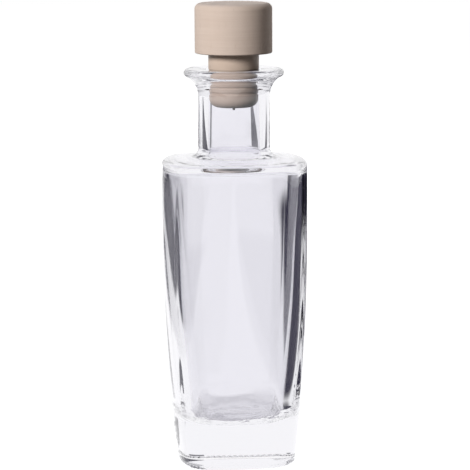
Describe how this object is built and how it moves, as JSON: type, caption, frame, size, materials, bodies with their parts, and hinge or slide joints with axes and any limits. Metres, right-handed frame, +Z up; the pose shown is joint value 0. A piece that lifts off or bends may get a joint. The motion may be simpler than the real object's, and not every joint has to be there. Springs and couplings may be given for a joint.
{
  "type": "liquor bottle",
  "caption": "Clear glass bottle with a tapered square body, round neck and flared lip, closed by a pull-out stopper with a turned wooden head.",
  "frame": {"origin": "centre of the base, on the surface the bottle stands on", "axes": "+Z up the bottle's axis, X and Y square to the four faces of the body"},
  "size_m": [0.055, 0.055, 0.1747],
  "materials": {
    "clear_glass": "clear, fire polished, gloss",
    "pale_wood": "turned, fine sanded, matt lacquer",
    "beige_elastomer": "moulded, satin"
  },
  "bodies": {
    "vessel": {"bottle": "clear_glass"},
    "stopper": {"stopper_head": "pale_wood", "stopper_plug": "beige_elastomer"}
  },
  "joints": [
    {"name": "stopper_pull", "type": "slide", "parent": "vessel", "child": "stopper", "axis": [0, 0, 1], "range_m": [0, 0.03]}
  ]
}
